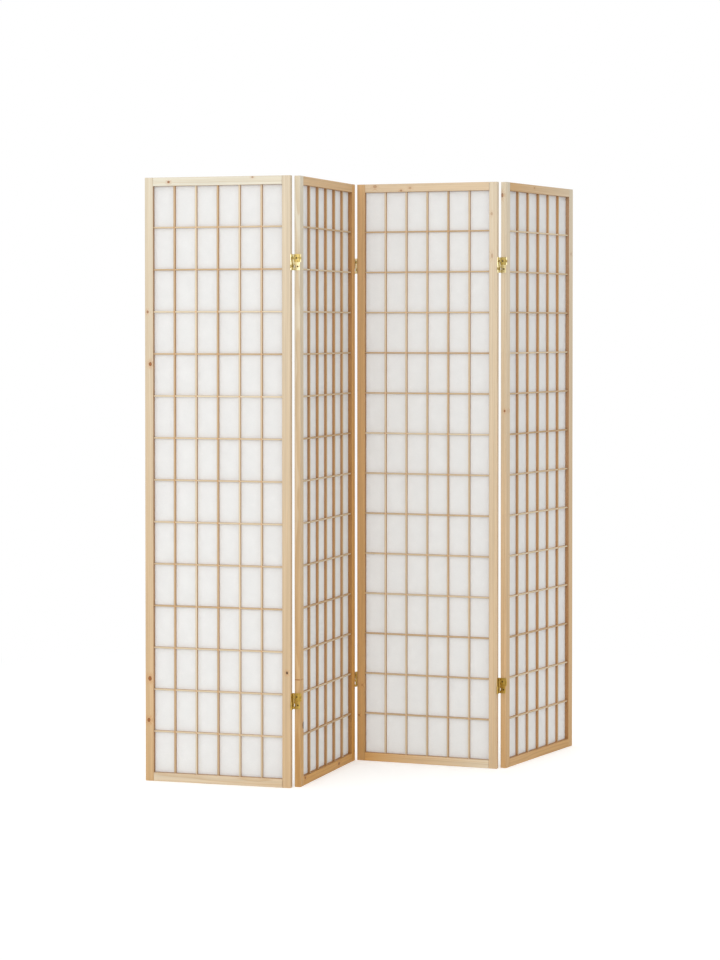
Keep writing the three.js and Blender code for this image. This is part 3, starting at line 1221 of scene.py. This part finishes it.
@dataclass
class Panel:
    """One panel: four spruce members, the lattice and its paper."""

    place: PanelPlace
    boards: dict[str, dict]
    lattice: Lattice = field(default_factory=Lattice)
    paper: PaperSheet = field(default_factory=PaperSheet)

    def dress_frame(self, nodes: dict[str, Object]) -> None:
        """Gives each stile and rail its own cut of spruce.

        Args:
            nodes: The CAD nodes by name.
        """
        middle = MEMBER_WIDTH / 2
        for part, (x, z, lying, inner_side) in {
            "left_stile": (middle, 0.0, False, 1), "right_stile": (PANEL_WIDTH - middle, 0.0, False, -1),
            "top_rail": (0.0, PANEL_HEIGHT - middle, True, 1), "bottom_rail": (0.0, middle, True, -1),
        }.items():
            grain = Grain(length=PANEL_WIDTH if lying else PANEL_HEIGHT, inner_side=inner_side,
                          **self.boards[part])
            wood = FRAME_SPRUCE.material(
                f"planed_spruce_{self.place.number}_{part}", self.place.board(x, z, lying), grain)
            node = nodes[f"{self.place.body}_{part}"]
            node.data.materials.clear()
            node.data.materials.append(wood)
            LOG.info("dressed %s, which has %d knots", node.name, len(grain.knots))

    def build(self, nodes: dict[str, Object], paper_finish: Material) -> None:
        """Builds and dresses the whole panel.

        Args:
            nodes: The CAD nodes by name.
            paper_finish: The paper's material.
        """
        self.dress_frame(nodes)
        strips = self.lattice.build(self.place)
        sheet = self.paper.build(self.place, self.lattice, paper_finish, strips)
        for made in (*strips, sheet):
            LOG.info("made %s: %d faces", made.name, len(made.data.polygons))


# ---- Hinges ---------------------------------------------------------------------------------


class Half(Enum):
    """The upper or the lower half of a hinge, and the way that its heights grow."""

    UPPER = 1
    LOWER = -1


@dataclass
class Hinge:
    """A hinge that folds both ways: two leaves, two crossed links, their pins and four screws.

    Its own frame has its origin in the middle of the gap between two panels in line, with the
    front axis at y = -AXIS_OFFSET and the back axis at y = +AXIS_OFFSET. Sizes are in millimetres.
    """

    name: str
    places: tuple[PanelPlace, PanelPlace]
    level: float
    turning_side: int
    plate_brass: Material
    link_brass: Material
    screw_brass: Material
    sheet: float = 1.0
    plate_face: float = -1.2
    plate_half_width: float = 8.2
    half_height: float = 23.0
    knuckle: float = 7.4
    play: float = 0.3
    start: float = 0.2
    barrel_radius: float = 2.18
    pin_radius: float = 0.85
    link_half_width: float = 8.7
    corner: float = 1.6
    eased: float = 0.12
    screw_level: float = 12.0
    screw_stagger: float = 1.6
    screw_head: float = 2.45
    screw_shank: float = 1.15
    screw_length: float = 14.0
    sink: float = 2.7
    bore: float = 1.7
    access: float = 3.0

    def build(self) -> list[Object]:
        """Builds the whole hinge.

        Returns:
            Its pieces.
        """
        left, right = self.places
        on_left = left.matrix @ Matrix.Translation(
            Vector((PANEL_WIDTH + PANEL_GAP / 2, 0, self.level)) * MM)
        on_right = right.matrix @ Matrix.Translation(Vector((-PANEL_GAP / 2, 0, self.level)) * MM)
        turned = on_right @ Matrix.Rotation(math.pi, 4, "Z")
        made = []
        for word, panel, frame in (("left", left, on_left), ("right", right, turned)):
            node = f"{self.name}_leaf_{word}"
            made.append(self._piece(
                f"{self.name}_plate_{word}", self._leaf(), frame, panel, node, self.plate_brass))
            low = Vector((self.plate_face, self.screw_stagger, -self.screw_level))
            row = Row(2, low, Vector((0.0, -2 * self.screw_stagger, 2 * self.screw_level)),
                      turn_deg=60.0, seed=int(self.level) + left.number * 7 + len(made))
            screws = row.build(f"{self.name}_screws_{word}", self._screw(), frame, self.screw_brass)
            made.append(self._settle(screws, panel, node))
        for half in Half:
            word = half.name.lower()
            ahead = half.value == self.turning_side
            rider, frame = (right, on_right) if ahead else (left, on_left)
            holder, spot = (left, on_left) if ahead else (right, on_right)
            made.append(self._piece(
                f"{self.name}_strap_{word}", self._link(half), frame, rider,
                f"{self.name}_link_{word}", self.link_brass))
            made.append(self._piece(
                f"{self.name}_rivet_{word}", self._pin(half, self.turning_side), spot, holder,
                f"{self.name}_pin_{word}", self.screw_brass))
        return made

    def _piece(
        self, name: str, mesh: Mesh, frame: Matrix, panel: PanelPlace, node: str,
        finish: Material,
    ) -> Object:
        """Makes an object of a mesh in the hinge's frame.

        Args:
            name: The piece's name.
            mesh: Its mesh, in millimetres.
            frame: The hinge's frame to that of the whole part, in metres.
            panel: The panel that it rides on.
            node: The CAD node that it replaces.
            finish: The piece's material.

        Returns:
            The piece.
        """
        set_in_place(mesh, frame)
        mesh.materials.append(finish)
        return self._settle(new_object(name, mesh), panel, node)

    @staticmethod
    def _settle(piece: Object, panel: PanelPlace, node: str) -> Object:
        """Hides the CAD node that a piece replaces and puts the piece on the panel that it rides on.

        Args:
            piece: The piece.
            panel: The panel that it rides on.
            node: The CAD node that it replaces.

        Returns:
            The same piece.
        """
        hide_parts(node)
        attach(piece, panel.body)
        return piece

    def _span(self, half: Half, index: int) -> tuple[float, float]:
        """Tells where a knuckle is.

        Args:
            half: The half of the hinge that it is in.
            index: Its number, counted from the hinge's middle.

        Returns:
            Its lowest and highest height.
        """
        near = self.start + index * (self.knuckle + self.play)
        ends = (half.value * near, half.value * (near + self.knuckle))
        return min(ends), max(ends)

    def _ribbon(
        self, shape: BMesh, middle: list[tuple[float, float]], side: int, span: tuple[float, float]
    ) -> None:
        """Adds a bent strip of sheet metal, drawn along its middle line and mirrored to one side.

        Args:
            shape: The shape that takes it.
            middle: Points of the sheet's middle line, seen from above, for the back side.
            side: 1 for the back axis, -1 for the front one, which turns the strip half round.
            span: Its lowest and highest height.
        """
        points = [Vector(point) for point in middle]
        left, right = [], []
        for i, point in enumerate(points):
            before, after = points[max(i - 1, 0)], points[min(i + 1, len(points) - 1)]
            way = (after - before).normalized()
            across = Vector((-way.y, way.x)) * self.sheet / 2
            left.append(point + across)
            right.append(point - across)
        outline = [(p.x, side * p.y, span[0]) for p in left + right[::-1]]
        known = set(shape.edges)
        extrude(shape, outline, (0.0, 0.0, span[1] - span[0]))
        ease_edges(shape, self.eased, lambda edge: edge not in known and self._is_rim(edge, span))

    @staticmethod
    def _is_rim(edge: BMEdge, span: tuple[float, float]) -> bool:
        """Tells whether an edge lies in the foot or the head of a prism."""
        a, b = (vertex.co.z for vertex in edge.verts)
        return abs(a - b) < 1e-6 and min(abs(a - span[0]), abs(a - span[1])) < 1e-6

    @staticmethod
    def _add_plate(
        shape: BMesh, outline: list[tuple[float, float]], faces: list[tuple[float, list]]
    ) -> None:
        """Adds a flat plate with holes to a shape.

        Args:
            shape: The shape that takes it.
            outline: The plate's corners, as y and z.
            faces: For each face of the plate its x and its holes, each a list of points.
        """
        sides = []
        for x, holes in faces:
            sides.append([[shape.verts.new((x, y, z)) for y, z in ring] for ring in (outline, *holes)])
            fill_between(shape, *sides[-1])
        for front, back in zip(*sides):
            join_rings(shape, front, back)

    def _leaf(self) -> Mesh:
        """Builds the left leaf: a plate with two countersunk holes and its four rolled knuckles.

        Returns:
            The leaf's mesh, in millimetres.
        """
        shape = bmesh.new()
        wide, high, inset = self.plate_half_width, self.half_height, self.corner
        # Each corner is round, but for the two from which a knuckle is rolled.
        outline = [
            *arc((wide - inset, inset - high), inset, -90, 0, 6), (wide, high),
            *arc((inset - wide, high - inset), inset, 90, 180, 6), (-wide, -high)]
        holes = [(-half.value * self.screw_stagger, half.value * self.screw_level) for half in Half]
        self._add_plate(shape, outline, [
            (x, [circle(hole, radius, 24) for hole in holes])
            for x, radius in ((self.plate_face, self.sink), (self.plate_face - self.sheet, self.bore))])
        middle_face = self.plate_face - self.sheet / 2
        axis = (0.0, AXIS_OFFSET)
        roll = self.barrel_radius - self.sheet / 2
        for half in Half:
            for index in (0, 2):
                # The sheet runs off the plate's edge and rolls on until it nearly closes.
                self._ribbon(shape, [(middle_face, wide - 0.3), *arc(axis, roll, 180, -112, 26)],
                             half.value, self._span(half, index))
        return mesh_of(f"{self.name}_plate", shape)

    def _link(self, half: Half) -> Mesh:
        """Builds a link: a web between the leaves, rolled round both axes, with its own fixed pin.

        Args:
            half: The half of the hinge that it is in.

        Returns:
            The link's mesh, in millimetres.
        """
        shape = bmesh.new()
        ends = sorted((half.value * self.start, half.value * self.half_height))
        wide, inset = self.link_half_width, self.corner
        outline = [
            *arc((wide - inset, ends[0] + inset), inset, -90, 0, 4),
            *arc((wide - inset, ends[1] - inset), inset, 0, 90, 4),
            *arc((inset - wide, ends[1] - inset), inset, 90, 180, 4),
            *arc((inset - wide, ends[0] + inset), inset, 180, 270, 4)]
        # The hole lets a driver reach the leaf's screw behind the web.
        hole = (self.turning_side * self.screw_stagger, half.value * self.screw_level)
        self._add_plate(shape, outline, [
            (way * self.sheet / 2, [circle(hole, self.access, 24)]) for way in (-1, 1)])
        roll = self.barrel_radius - self.sheet / 2
        for side in (-1, 1):
            # The first two points lie in the web, so that the rolled sheet grows out of it.
            middle = [(0.0, wide - 1.2), (0.0, wide - 0.7), *arc((0.0, AXIS_OFFSET), roll, 210, -84, 26)]
            self._ribbon(shape, middle, side, self._span(half, 1))
        self._add_pin(shape, half, -self.turning_side)
        return mesh_of(f"{self.name}_strap", shape)

    def _pin(self, half: Half, side: int) -> Mesh:
        """Builds one pin with rounded ends.

        Args:
            half: The half of the hinge that it is in.
            side: Its axis.

        Returns:
            The pin's mesh, in millimetres.
        """
        shape = bmesh.new()
        self._add_pin(shape, half, side)
        return mesh_of(f"{self.name}_rivet", shape)

    def _add_pin(self, shape: BMesh, half: Half, side: int) -> None:
        """Adds a pin with rounded ends to a shape.

        Args:
            shape: The shape that takes it.
            half: The half of the hinge that it is in.
            side: Its axis.
        """
        low, high = sorted((half.value * self.start, half.value * self.half_height))
        # How far from an end the pin has which radius.
        rounding = ((0.0, 0.45), (0.12, 0.72), (0.4, self.pin_radius))
        profile = [(low + step, radius) for step, radius in rounding]
        profile += [(high - step, radius) for step, radius in reversed(rounding)]
        shape.faces.new(stack_rings(shape, [
            [(x, y, z) for x, y in circle((0.0, side * AXIS_OFFSET), radius, 18)]
            for z, radius in profile]))

    def _screw(self) -> Mesh:
        """Builds a countersunk wood screw along x, with a cross recess in its slightly domed head.

        Returns:
            The screw's mesh, in millimetres.
        """
        shape = bmesh.new()
        tip, taper, head, shank = 0.3, 4.0, self.screw_head, self.screw_shank
        # From the tip to the dome: where each ring is along the screw, and its radius.
        profile = [(-self.screw_length, tip), (taper - self.screw_length, shank), (-1.5, shank),
                   (-0.12, head), (0.0, head - 0.08), (0.2, head - 0.8)]
        rim = stack_rings(
            shape, [[(x, y, z) for y, z in circle((0.0, 0.0), radius, 24)] for x, radius in profile])
        # The recess: a cross at the top of the dome that narrows towards its flat bottom.
        arm, slot, narrowing, dome, floor = 1.25, 0.36, 0.55, 0.26, -0.9
        cross = [(y * c - z * s, y * s + z * c) for c, s in ((1, 0), (0, 1), (-1, 0), (0, -1))
                 for y, z in ((arm, -slot), (arm, slot), (slot, slot))]
        top = [shape.verts.new((dome, y, z)) for y, z in cross]
        bottom = [shape.verts.new((floor, y * narrowing, z * narrowing)) for y, z in cross]
        fill_between(shape, rim, top)
        join_rings(shape, top, bottom)
        shape.faces.new(bottom)
        return mesh_of("screw", shape)


# ---- Camera, floor and light ----------------------------------------------------------------


@dataclass(frozen=True)
class Lamp:
    """A square soft lamp that faces the middle of the screen and isn't seen itself."""

    name: str
    place: tuple[float, float, float]
    size: float
    power: float
    sheen_only: bool = False

    def hang(self) -> None:
        """Hangs the lamp; one for sheen alone shows only in reflections."""
        light = bpy.data.lights.new(self.name, "AREA")
        light.size = self.size
        light.energy = self.power
        holder = bpy.data.objects.new(self.name, light)
        aim = Vector((0, 0, PANEL_HEIGHT * MM / 2)) - Vector(self.place)
        holder.location = self.place
        holder.rotation_euler = aim.to_track_quat("-Z", "Y").to_euler()
        holder.visible_camera = False
        holder.visible_diffuse = not self.sheen_only
        bpy.context.scene.collection.objects.link(holder)


@dataclass(frozen=True)
class Studio:
    """A pale floor, soft light and the camera."""

    camera_place: tuple[float, float, float] = (-0.0225, -6.8394, 1.3122)
    camera_pitch_deg: float = 1.0
    lens_mm: float = 85.61
    shift_y: float = -0.1157
    floor_size: float = 40.0
    floor_fade: tuple[float, float] = (1.1, 2.6)
    floor_glow: float = 0.3
    floor_paint: str = "F0F0EF"
    world_light: float = 0.93
    lamps: tuple[Lamp, ...] = (
        Lamp("key", (-2.05, -5.64, 2.6), 2.0, 88.0),
        Lamp("front_sheen", (-2.5, -3.2, 2.3), 1.8, 20.0, sheen_only=True),
    )

    def build(self) -> None:
        """Makes the floor, the world, the lamps and the camera."""
        self._floor()
        self._world()
        for lamp in self.lamps:
            lamp.hang()
        self._camera()

    @staticmethod
    def _seen_directly(tree: NodeTree) -> NodeSocket:
        """Tells whether the camera, a reflection or clear glass looks at a surface.

        Args:
            tree: The tree of the floor or the world.

        Returns:
            A socket that is 1 if so.
        """
        path = add_node(tree, "ShaderNodeLightPath").outputs
        seen = maths(tree, "MAXIMUM", path["Is Camera Ray"], path["Is Glossy Ray"])
        return maths(tree, "MAXIMUM", seen, path["Is Transmission Ray"])

    def _floor(self) -> None:
        """Makes a matt white floor that keeps the screen's shadow and fades into the background."""
        shape = bmesh.new()
        bmesh.ops.create_grid(shape, x_segments=1, y_segments=1, size=self.floor_size / 2)
        floor = new_object("floor", mesh_of("floor", shape))
        paint, tree = new_material("matt_white_floor")
        away = vector_maths(tree, "LENGTH", object_place(tree))
        faded = remap(tree, away, self.floor_fade, smooth=True)
        matt = add_node(tree, "ShaderNodeBsdfDiffuse", {"Color": linear(self.floor_paint)}).outputs[0]
        glow, white = (
            add_node(tree, "ShaderNodeEmission", {"Color": WHITE, "Strength": strength}).outputs[0]
            for strength in (self.floor_glow, 1.0))
        lifted = add_node(tree, "ShaderNodeAddShader", {0: matt, 1: glow}).outputs[0]
        shown = add_node(tree, "ShaderNodeMixShader", {0: faded, 1: lifted, 2: white}).outputs[0]
        mixed = add_node(tree, "ShaderNodeMixShader", {0: self._seen_directly(tree), 1: matt, 2: shown})
        add_node(tree, "ShaderNodeOutputMaterial", {"Surface": mixed.outputs[0]})
        floor.data.materials.append(paint)

    def _world(self) -> None:
        """Makes a world that is white where it is seen, and a plain even light elsewhere."""
        world = bpy.data.worlds.new("plain_world")
        world.use_nodes = True
        tree = world.node_tree
        tree.nodes.clear()
        plain, white = (
            add_node(tree, "ShaderNodeBackground", {"Color": WHITE, "Strength": strength}).outputs[0]
            for strength in (self.world_light, 1.0))
        mixed = add_node(tree, "ShaderNodeMixShader", {0: self._seen_directly(tree), 1: plain, 2: white})
        add_node(tree, "ShaderNodeOutputWorld", {"Surface": mixed.outputs[0]})
        bpy.context.scene.world = world

    def _camera(self) -> None:
        """Stands the camera at the photograph's angle."""
        view = bpy.data.cameras.new("camera")
        view.lens = self.lens_mm
        view.shift_y = self.shift_y
        camera = bpy.data.objects.new("camera", view)
        camera.location = self.camera_place
        camera.rotation_euler = Euler((math.radians(90 - self.camera_pitch_deg), 0.0, 0.0))
        bpy.context.scene.collection.objects.link(camera)
        bpy.context.scene.camera = camera
        bpy.context.scene.view_settings.view_transform = "Standard"


# ---- The boards of each panel ---------------------------------------------------------------

# Each board's golden shares and lightness hold its own tone and painted light: most stiles are paler
# towards their heads as painted sheen from light above, and the second panel's right stile and the third
# panel's left stile, deep in the fold between them, are more golden as painted shade.
BOARDS = (
    {
        "left_stile": board(1.3, 0.66, -0.14, Knot(1211, 4.0, 4.6), Knot(298, 1.4, 5.2),
                            Knot(177, -2.0, 4.6), Knot(1362, -4.2, 3.2, darkness=0.8), lightness=1.01),
        "right_stile": board(4.1, 0.52, 0.01, Knot(330, 1.8, 3.2, dead=True), lightness=0.98),
        "top_rail": board(2.2, -0.3, -0.23, Knot(73, 1.0, 3.0), Knot(327, -9.0, 2.6, darkness=0.6),
                          lightness=1.04),
        "bottom_rail": board(3.4, 0.08, 0.32, lightness=1.06),
    },
    {
        "left_stile": board(5.2, 0.88, -0.26, Knot(175, 9.5, 6.0, stretch=1.8, dead=True),
                            Knot(308, 0.0, 10.0, stretch=0.1, axis=KnotAxis.EDGE), lightness=1.03),
        "right_stile": board(6.6, 1.08, 0.82, Knot(28, 9.4, 2.6), lightness=1.15),
        "top_rail": board(7.7, 0.56, 0.6, lightness=1.08),
        "bottom_rail": board(8.3, 1.01, 0.96, Knot(305, -0.8, 4.4), Knot(38, -8.0, 3.6),
                             lightness=1.1),
    },
    {
        "left_stile": board(9.1, 0.88, 0.69, Knot(138, -6.5, 2.6, darkness=0.7),
                            Knot(230, 3.2, 3.0, darkness=0.4), lightness=1.01),
        "right_stile": board(10.4, 0.45, 0.02, Knot(1655, -4.6, 3.4, darkness=0.4),
                             Knot(1530, -3.5, 3.6, stretch=2.0, darkness=0.35), lightness=1.05),
        "top_rail": board(11.9, 0.28, 0.27, Knot(57, -5.5, 4.4, darkness=0.5),
                          Knot(140, 7.9, 2.8, darkness=0.7), Knot(168, 1.0, 3.4, darkness=0.45),
                          lightness=1.06),
        "bottom_rail": board(12.6, 0.99, 0.03, lightness=1.12),
    },
    {
        "left_stile": board(13.5, 0.75, -0.11,
                            Knot(1711, 5.0, 3.8, stretch=1.8, axis=KnotAxis.EDGE, darkness=0.8),
                            Knot(1068, -4.0, 2.8, axis=KnotAxis.EDGE), lightness=1.05),
        "right_stile": board(14.7, 0.79, -0.07, Knot(1547, -0.9, 3.2, darkness=0.4), lightness=1.02),
        "top_rail": board(15.8, 0.78, 0.16, Knot(180, -3.7, 2.8, darkness=0.5), lightness=1.04),
        "bottom_rail": board(16.2, 0.75, 0.9, lightness=1.03),
    },
)


def main() -> None:
    """Builds the screen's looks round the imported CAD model."""
    logging.basicConfig(level=logging.INFO, format="%(name)s: %(message)s")
    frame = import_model()
    Studio().build()
    places = panel_places(frame["joints"])
    paper = ShojiPaper().material()
    metals = {word: [finish.material() for finish in finishes]
              for word, finishes in HINGE_FINISHES.items()}
    for place, boards in zip(places, BOARDS):
        Panel(place, boards).build(frame["nodes"], paper)
    for left, right, side in zip(places, places[1:], TURNING_SIDES):
        for word, level in HINGE_LEVELS.items():
            name = f"hinge_{left.number}{right.number}_{word}"
            for made in Hinge(name, (left, right), level, side, *metals[word]).build():
                LOG.info("made %s: %d faces", made.name, len(made.data.polygons))


if __name__ == "__main__":
    main()
